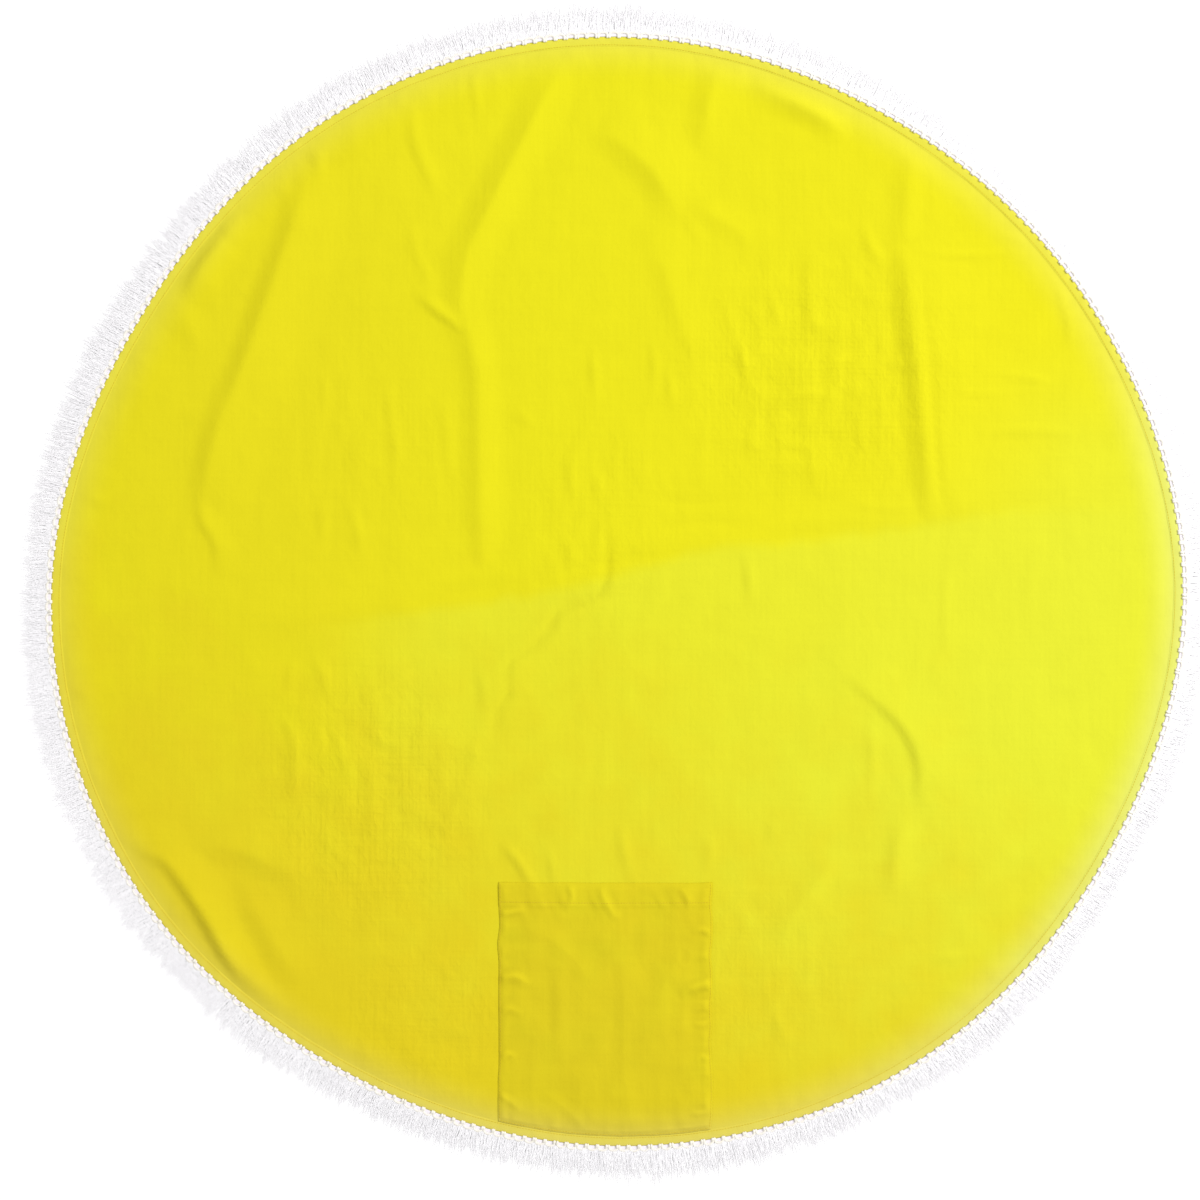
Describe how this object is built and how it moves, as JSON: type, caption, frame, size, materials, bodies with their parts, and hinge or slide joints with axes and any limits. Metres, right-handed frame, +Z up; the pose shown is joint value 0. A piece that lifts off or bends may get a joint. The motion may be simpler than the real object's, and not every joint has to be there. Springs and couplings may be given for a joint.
{
  "type": "round picnic blanket",
  "caption": "Round cotton picnic blanket laid flat with soft folds, with a patch pocket at its lower edge and a fringe trim sewn all round.",
  "frame": {"origin": "under the middle of the whole blanket, on the surface that it lies on", "axes": "+Z up out of the cloth, +Y from the pocket towards the far edge, +X to the right seen from above with the pocket nearest"},
  "size_m": [1.5788, 1.5482, 0.013],
  "materials": {
    "yellow_cotton": "matt lemon yellow plain-weave cotton",
    "pocket_cotton": "the same matt yellow cotton, doubled and so a little deeper",
    "white_fringe": "soft white cotton yarn, looped heading and loose fringe"
  },
  "bodies": {
    "root": {"blanket_cloth": "yellow_cotton", "pocket": "pocket_cotton", "fringe_trim": "white_fringe"}
  },
  "joints": []
}
